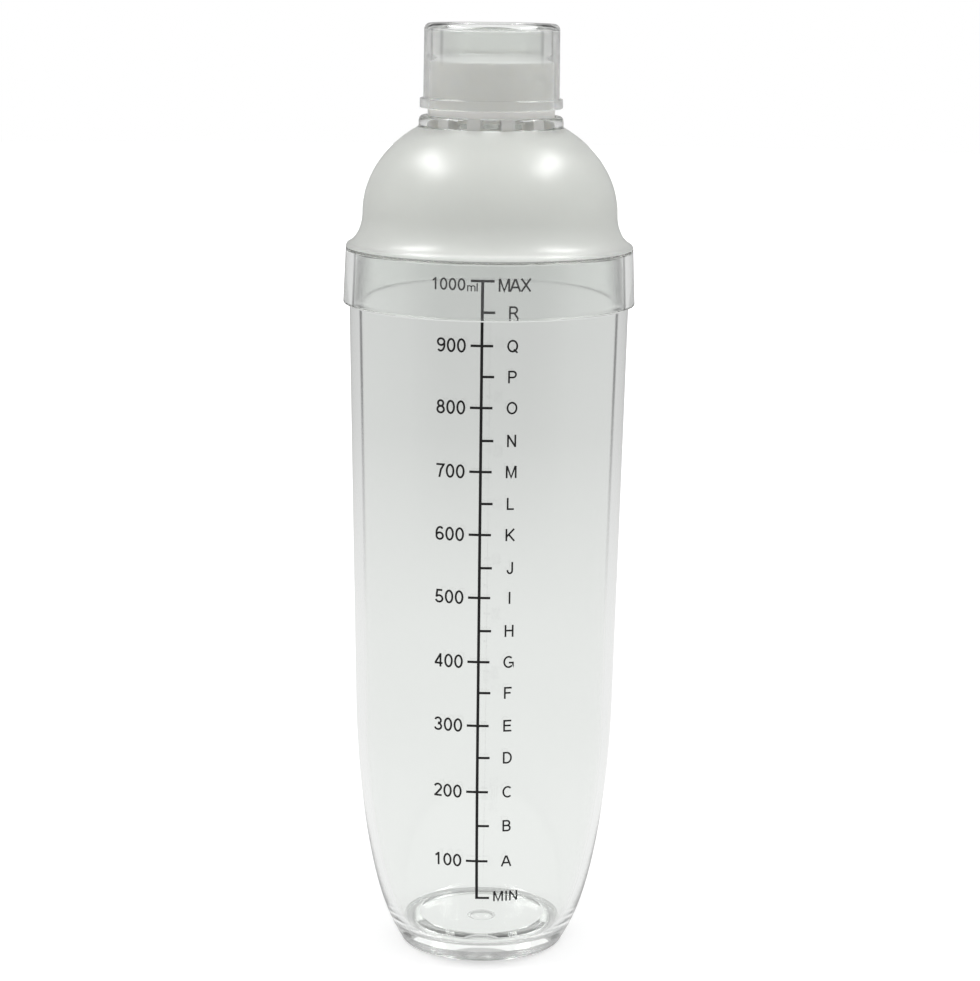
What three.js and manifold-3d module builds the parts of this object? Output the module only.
// Cocktail shaker: a tall clear cup, a shoulder lid that pushes over the cup's rim,
// a milky strainer spout that sits in the lid's mouth, and a clear cap that pushes over the spout.
// Millimetres, +Z up, the origin at the middle of the foot.

import * as THREE from 'three';
import { mergeVertices } from 'three/addons/utils/BufferGeometryUtils.js';
import Module from 'manifold-3d';

// Fit between pieces that push together
const SEAT_GAP = 0.3;

// Cup: foot and base
const FOOT_RADIUS = 26.95;
const FOOT_EDGE = 0.95;
const FOOT_RING_WIDTH = 3.45;
const UNDERSIDE_RECESS = 1.6;
const UNDERSIDE_BEVEL = 1.2;
const GATE_DIMPLE_RADIUS = 4.6;
const GATE_DIMPLE_DEPTH = 2.3;
const BASE_THICKNESS = 6.4;
const FLOOR_INSET = 1.65;
const FLOOR_RISE = 1.6;
const FLOOR_SLOPE = 2.1;
const FLOOR_GROOVE = 2.3;

// Cup: body wall, a straight drafted tube that curves in to the foot below the hip
const BODY_HEIGHT = 211.4;
const BODY_TOP_RADIUS = 44.4;
const BODY_DRAFT = 0.019;
const HIP_HEIGHT = 79.5;
const WALL_AT_HIP = 3.1;
const FOOT_SWEEP_OUT = 13.0;
const FOOT_SWEEP_UP = 18.55;
const HIP_SWEEP = 7.5;
const FLOOR_SWEEP = 3.0;
const INSIDE_HIP_SWEEP = 48.0;

// Cup: tapered rim that the lid's skirt pushes over
const RIM_STEP = 1.3;
const RIM_HEIGHT = 16.8;
const RIM_TAPER = 1.1;
const RIM_WALL = 1.2;
const RIM_EDGE = 0.35;

// Shoulder lid: clear skirt, flare and dome
const SKIRT_WALL = 3.0;
const SKIRT_LEAN = 0.8;
const SKIRT_EDGE = 0.7;
const SKIRT_TOP_ABOVE_LEDGE = 1.2;
const SHOULDER_WIDTH = 5.2;
const FLARE_OPENNESS = 1.35;
const FLARE_END_DROP = 0.8;
const DOME_BASE_ABOVE_LEDGE = 11.7;
const DOME_RISE = 32.8;
const DOME_WALL = 2.8;
const LEDGE_LAND = 1.0;

// Shoulder lid: mouth that holds the strainer spout
const MOUTH_WALL = 2.5;
const MOUTH_STAND = 3.4;
const MOUTH_EDGE_WIDTH = 1.3;
const MOUTH_EDGE_HEIGHT = 1.8;
const MOUTH_DEPTH = 8.2;
const SEAT_LEDGE_WIDTH = 2.2;
const SEAT_LEDGE_THICKNESS = 2.0;

// Strainer spout: drafted pouring neck on a slotted plate
const NECK_RADIUS = 19.3;
const NECK_HEIGHT = 14.5;
const NECK_DRAFT = 0.15;
const NECK_WALL = 3.2;
const NECK_LIP = 0.6;
const SHOULDER_STEP = 0.55;
const SHOULDER_ABOVE_MOUTH = 2.1;
const PLATE_THICKNESS = 2.2;
const SLOT_COUNT = 12;
const SLOT_ANGLE = 18;
const SLOT_INNER_RADIUS = 7.5;
const SLOT_COVER = 1.3;

// Cap: drafted shell with a finger flange and a central well whose wall plugs the spout
const CAP_HEIGHT = 26.2;
const CAP_WALL = 1.65;
const CAP_TOP_WALL = 2.1;
const CAP_EDGE = 2.0;
const CROWN_STEP = 0.8;
const CROWN_DEPTH = 9.0;
const FLANGE_REACH = 1.1;
const FLANGE_HEIGHT = 3.0;
const FLANGE_EDGE = 0.4;
const WELL_DEPTH = 9.1;
const WELL_FLOOR = 2.6;
const WELL_WALL = 1.4;
const WELL_EDGE = 1.0;
const PLUG_DEPTH = 6.2;
const PLUG_TIP = 0.6;

// Smoothness of the curves
const SIDES = 48;
const LONG_CURVE_STEPS = 10;
const ROUND_STEPS = 3;
const DOME_STEPS = 9;
const FLARE_STEPS = 4;
const DIMPLE_STEPS = 5;

// Heights and radii where the pieces meet
const rimTop = BODY_HEIGHT + RIM_HEIGHT;
const rimRootRadius = BODY_TOP_RADIUS - RIM_STEP;
const rimTopRadius = rimRootRadius - RIM_TAPER;
const rimBore = rimTopRadius - RIM_WALL;
const lidLedge = rimTop + SEAT_GAP;
const skirtBottom = BODY_HEIGHT + SEAT_GAP;
const skirtTopRadius = rimRootRadius + SEAT_GAP + SKIRT_WALL - SKIRT_LEAN;
const domeRadius = skirtTopRadius - SHOULDER_WIDTH;
const domeBase = lidLedge + DOME_BASE_ABOVE_LEDGE;
const neckRootRadius = NECK_RADIUS + NECK_DRAFT;
const spoutBore = NECK_RADIUS - NECK_WALL;
const spoutBaseRadius = neckRootRadius + SHOULDER_STEP;
const mouthBore = spoutBaseRadius + SEAT_GAP;
const mouthRadius = mouthBore + MOUTH_WALL;
const mouthTop = ellipseHeight(domeRadius, DOME_RISE, domeBase, mouthRadius) + MOUTH_STAND;
const seatLedge = mouthTop - MOUTH_DEPTH;
const spoutBottom = seatLedge + SEAT_GAP;
const spoutShoulder = mouthTop + SHOULDER_ABOVE_MOUTH;
const spoutRim = spoutShoulder + NECK_HEIGHT;
const capBottom = spoutShoulder + SEAT_GAP;
const capTop = capBottom + CAP_HEIGHT;

// Height of a dome's surface above a point at the given radius
function ellipseHeight(halfWidth, rise, base, radius) {
  return base + rise * Math.sqrt(1 - (radius / halfWidth) ** 2);
}

function point(radius, height) {
  return new THREE.Vector2(radius, height);
}

// Points along an arc of an ellipse, angles in degrees from the outward direction
function arc(centre, halfWidth, halfHeight, from, to, steps) {
  const start = THREE.MathUtils.degToRad(from);
  const end = THREE.MathUtils.degToRad(to);
  const clockwise = end < start;
  return new THREE.EllipseCurve(centre.x, centre.y, halfWidth, halfHeight, start, end, clockwise)
    .getPoints(steps);
}

// A rounded corner of the given size between two square edges
function roundCorner(centre, size, from, to) {
  return arc(centre, size, size, from, to, ROUND_STEPS);
}

// Turns an outline, listed anticlockwise as seen with the radius to the right, about the Z axis
function revolve(outline) {
  const turned = new THREE.LatheGeometry(outline, SIDES);
  turned.rotateX(Math.PI / 2);
  return turned;
}

// Cup outline: underside with its gate dimple, foot, drafted outside, tapered rim, inside and raised floor
function cupOutline() {
  const bodyRadius = (height) => BODY_TOP_RADIUS - BODY_DRAFT * (BODY_HEIGHT - height);
  const hipRadius = bodyRadius(HIP_HEIGHT);
  const footInner = FOOT_RADIUS - FOOT_RING_WIDTH;
  const gate = point(0, UNDERSIDE_RECESS);
  const outside = new THREE.CubicBezierCurve(
    point(FOOT_RADIUS, FOOT_EDGE),
    point(FOOT_RADIUS + FOOT_SWEEP_OUT, FOOT_EDGE + FOOT_SWEEP_UP),
    point(hipRadius - BODY_DRAFT * HIP_SWEEP, HIP_HEIGHT - HIP_SWEEP),
    point(hipRadius, HIP_HEIGHT),
  );
  const insideHip = hipRadius - WALL_AT_HIP;
  const insideDraft = (rimBore - insideHip) / (rimTop - HIP_HEIGHT);
  const floorRadius = FOOT_RADIUS - FLOOR_INSET;
  const raisedFoot = floorRadius - FLOOR_GROOVE;
  const raisedFloor = BASE_THICKNESS + FLOOR_RISE;
  const inside = new THREE.CubicBezierCurve(
    point(insideHip, HIP_HEIGHT),
    point(insideHip - insideDraft * INSIDE_HIP_SWEEP, HIP_HEIGHT - INSIDE_HIP_SWEEP),
    point(floorRadius + FLOOR_SWEEP, BASE_THICKNESS),
    point(floorRadius, BASE_THICKNESS),
  );
  return [
    ...arc(gate, GATE_DIMPLE_RADIUS, GATE_DIMPLE_DEPTH, 90, 0, DIMPLE_STEPS),
    point(footInner - UNDERSIDE_BEVEL, UNDERSIDE_RECESS),
    point(footInner, 0),
    ...roundCorner(point(FOOT_RADIUS - FOOT_EDGE, FOOT_EDGE), FOOT_EDGE, 270, 330),
    ...outside.getPoints(LONG_CURVE_STEPS),
    point(BODY_TOP_RADIUS, BODY_HEIGHT),
    point(rimRootRadius, BODY_HEIGHT),
    ...roundCorner(point(rimTopRadius - RIM_EDGE, rimTop - RIM_EDGE), RIM_EDGE, 0, 90),
    ...roundCorner(point(rimBore + RIM_EDGE, rimTop - RIM_EDGE), RIM_EDGE, 90, 180),
    ...inside.getPoints(LONG_CURVE_STEPS),
    point(raisedFoot, BASE_THICKNESS),
    point(raisedFoot - FLOOR_SLOPE, raisedFloor),
    point(0, raisedFloor),
  ];
}

// A concave flare between a dome's side and the edge that it spreads out to
function flare(side, height, edge, drop) {
  const reach = (edge - side) * FLARE_OPENNESS;
  const end = 180 + THREE.MathUtils.radToDeg(Math.acos(1 - 1 / FLARE_OPENNESS));
  const halfHeight = drop / Math.sin(THREE.MathUtils.degToRad(end - 180));
  return arc(point(side + reach, height), reach, halfHeight, end, 180, FLARE_STEPS);
}

// Angle at which a dome's curve reaches the given radius
function domeAngle(halfWidth, radius) {
  return THREE.MathUtils.radToDeg(Math.acos(radius / halfWidth));
}

// Shoulder lid outline: skirt, flare and dome outside, then the mouth, its seat ledge and the inside
function shoulderOutline() {
  const skirtInner = rimRootRadius + SEAT_GAP;
  const ledgeOuter = rimTopRadius + SEAT_GAP;
  const skirtOuter = skirtInner + SKIRT_WALL;
  const skirtTop = lidLedge + SKIRT_TOP_ABOVE_LEDGE;
  const flareEnd = skirtTopRadius - FLARE_END_DROP / 2;
  const flareDrop = domeBase - skirtTop - FLARE_END_DROP;
  const outerDome = point(0, domeBase);
  const insideRadius = domeRadius - DOME_WALL;
  const insideRise = DOME_RISE - DOME_WALL;
  const ledgeBore = mouthBore - SEAT_LEDGE_WIDTH;
  const ledgeUnder = seatLedge - SEAT_LEDGE_THICKNESS;
  const insideDrop = DOME_BASE_ABOVE_LEDGE - LEDGE_LAND;
  const mouthEdge = point(mouthRadius - MOUTH_EDGE_WIDTH, mouthTop - MOUTH_EDGE_HEIGHT);
  return [
    point(skirtInner, skirtBottom),
    ...roundCorner(point(skirtOuter - SKIRT_EDGE, skirtBottom + SKIRT_EDGE), SKIRT_EDGE, 270, 360),
    point(skirtTopRadius, skirtTop),
    ...flare(domeRadius, domeBase, flareEnd, flareDrop),
    ...arc(outerDome, domeRadius, DOME_RISE, 0, domeAngle(domeRadius, mouthRadius), DOME_STEPS).slice(1),
    ...arc(mouthEdge, MOUTH_EDGE_WIDTH, MOUTH_EDGE_HEIGHT, 0, 90, ROUND_STEPS),
    point(mouthBore, mouthTop),
    point(mouthBore, seatLedge),
    point(ledgeBore, seatLedge),
    point(ledgeBore, ledgeUnder),
    point(mouthRadius, ledgeUnder),
    ...arc(outerDome, insideRadius, insideRise, domeAngle(insideRadius, mouthRadius), 0, DOME_STEPS),
    ...flare(insideRadius, domeBase, rimBore, insideDrop).reverse().slice(1),
    point(rimBore, lidLedge),
    point(ledgeOuter, lidLedge),
    point(skirtInner, skirtBottom),
  ];
}

// Spout outline before its slots are cut: plate, base, shoulder, drafted neck and bore
function spoutOutline() {
  return [
    point(0, spoutBottom),
    point(spoutBaseRadius, spoutBottom),
    point(spoutBaseRadius, spoutShoulder),
    point(neckRootRadius, spoutShoulder),
    ...roundCorner(point(NECK_RADIUS - NECK_LIP, spoutRim - NECK_LIP), NECK_LIP, 0, 90),
    point(spoutBore, spoutRim),
    point(spoutBore, spoutBottom + PLATE_THICKNESS),
    point(0, spoutBottom + PLATE_THICKNESS),
  ];
}

// One strainer slot: a wedge that opens the plate and runs up the wall behind the lid's mouth
function slotCutter(turn) {
  const half = THREE.MathUtils.degToRad(SLOT_ANGLE) / 2;
  const beyond = mouthRadius;
  const below = spoutBottom - PLATE_THICKNESS;
  const wedge = new THREE.Shape();
  wedge.absarc(0, 0, beyond, -half, half, false);
  wedge.absarc(0, 0, SLOT_INNER_RADIUS, half, -half, true);
  const cutter = new THREE.ExtrudeGeometry(wedge, {
    depth: mouthTop - SLOT_COVER - below,
    curveSegments: ROUND_STEPS,
    bevelEnabled: false,
  });
  cutter.rotateZ(turn);
  cutter.translate(0, 0, below);
  return cutter;
}

// Cap outline: plug and well floor underneath, crown, bore, flange, outside and the well on top
function capOutline() {
  const plugRadius = spoutBore - SEAT_GAP;
  const wellRadius = plugRadius - WELL_WALL;
  const wellFloor = capTop - WELL_DEPTH;
  const slabUnder = wellFloor - WELL_FLOOR;
  const plugTip = spoutRim - PLUG_DEPTH;
  const ceiling = capTop - CAP_TOP_WALL;
  const boreMouth = neckRootRadius + SEAT_GAP;
  const boreTop = NECK_RADIUS + SEAT_GAP;
  const crownBore = boreTop - CROWN_STEP;
  const crownFoot = capTop - CROWN_DEPTH;
  const shellFoot = boreMouth + CAP_WALL;
  const shellTop = boreTop + CAP_WALL;
  const flangeRadius = shellFoot + FLANGE_REACH;
  const flangeTop = capBottom + FLANGE_HEIGHT;
  return [
    point(0, slabUnder),
    point(wellRadius, slabUnder),
    point(wellRadius, plugTip),
    point(plugRadius - PLUG_TIP, plugTip),
    point(plugRadius, plugTip + PLUG_TIP),
    point(plugRadius, ceiling),
    point(crownBore, ceiling),
    point(crownBore, crownFoot),
    point(boreTop, spoutRim),
    point(boreMouth, capBottom),
    ...roundCorner(point(flangeRadius - FLANGE_EDGE, capBottom + FLANGE_EDGE), FLANGE_EDGE, 270, 360),
    ...roundCorner(point(flangeRadius - FLANGE_EDGE, flangeTop - FLANGE_EDGE), FLANGE_EDGE, 0, 90),
    point(shellFoot, flangeTop),
    ...roundCorner(point(shellTop - CAP_EDGE, capTop - CAP_EDGE), CAP_EDGE, 0, 90),
    ...roundCorner(point(wellRadius + WELL_EDGE, capTop - WELL_EDGE), WELL_EDGE, 90, 180),
    ...roundCorner(point(wellRadius - WELL_EDGE, wellFloor + WELL_EDGE), WELL_EDGE, 360, 270),
    point(0, wellFloor),
  ];
}

const wasm = await Module();
wasm.setup();

// A closed geometry as a solid that can be cut
function toSolid(geometry) {
  const bare = geometry.clone();
  bare.deleteAttribute('normal');
  bare.deleteAttribute('uv');
  const welded = mergeVertices(bare);
  const vertProperties = welded.attributes.position.array;
  const triVerts = new Uint32Array(welded.index.array);
  return new wasm.Manifold(new wasm.Mesh({ numProp: 3, vertProperties, triVerts }));
}

function toGeometry(solid) {
  const mesh = solid.getMesh();
  const geometry = new THREE.BufferGeometry();
  geometry.setAttribute('position', new THREE.BufferAttribute(mesh.vertProperties, 3));
  geometry.setIndex(new THREE.BufferAttribute(mesh.triVerts, 1));
  geometry.computeVertexNormals();
  return geometry;
}

function spoutGeometry() {
  let spout = toSolid(revolve(spoutOutline()));
  for (let slot = 0; slot < SLOT_COUNT; slot += 1) {
    spout = spout.subtract(toSolid(slotCutter((slot * 2 * Math.PI) / SLOT_COUNT)));
  }
  return toGeometry(spout);
}

// Finishes: clear moulded plastic, frosted plastic and milky plastic
function clearPlastic(colour) {
  return new THREE.MeshStandardMaterial({
    color: colour,
    roughness: 0.06,
    metalness: 0,
    transparent: true,
    opacity: 0.35,
  });
}

function frostedPlastic(colour) {
  return new THREE.MeshStandardMaterial({
    color: colour,
    roughness: 0.45,
    metalness: 0,
    transparent: true,
    opacity: 0.8,
  });
}

function milkyPlastic(colour) {
  return new THREE.MeshStandardMaterial({ color: colour, roughness: 0.5, metalness: 0 });
}

function piece(name, geometry, material) {
  const mesh = new THREE.Mesh(geometry, material);
  mesh.name = name;
  return mesh;
}

const shaker = new THREE.Group();
shaker.add(
  piece('cup', revolve(cupOutline()), clearPlastic(0xe6ebe7)),
  piece('shoulder_lid', revolve(shoulderOutline()), frostedPlastic(0xd6dad5)),
  piece('strainer_spout', spoutGeometry(), milkyPlastic(0xc9c8c1)),
  piece('cap', revolve(capOutline()), clearPlastic(0xdfe4e1)),
);

export default shaker;
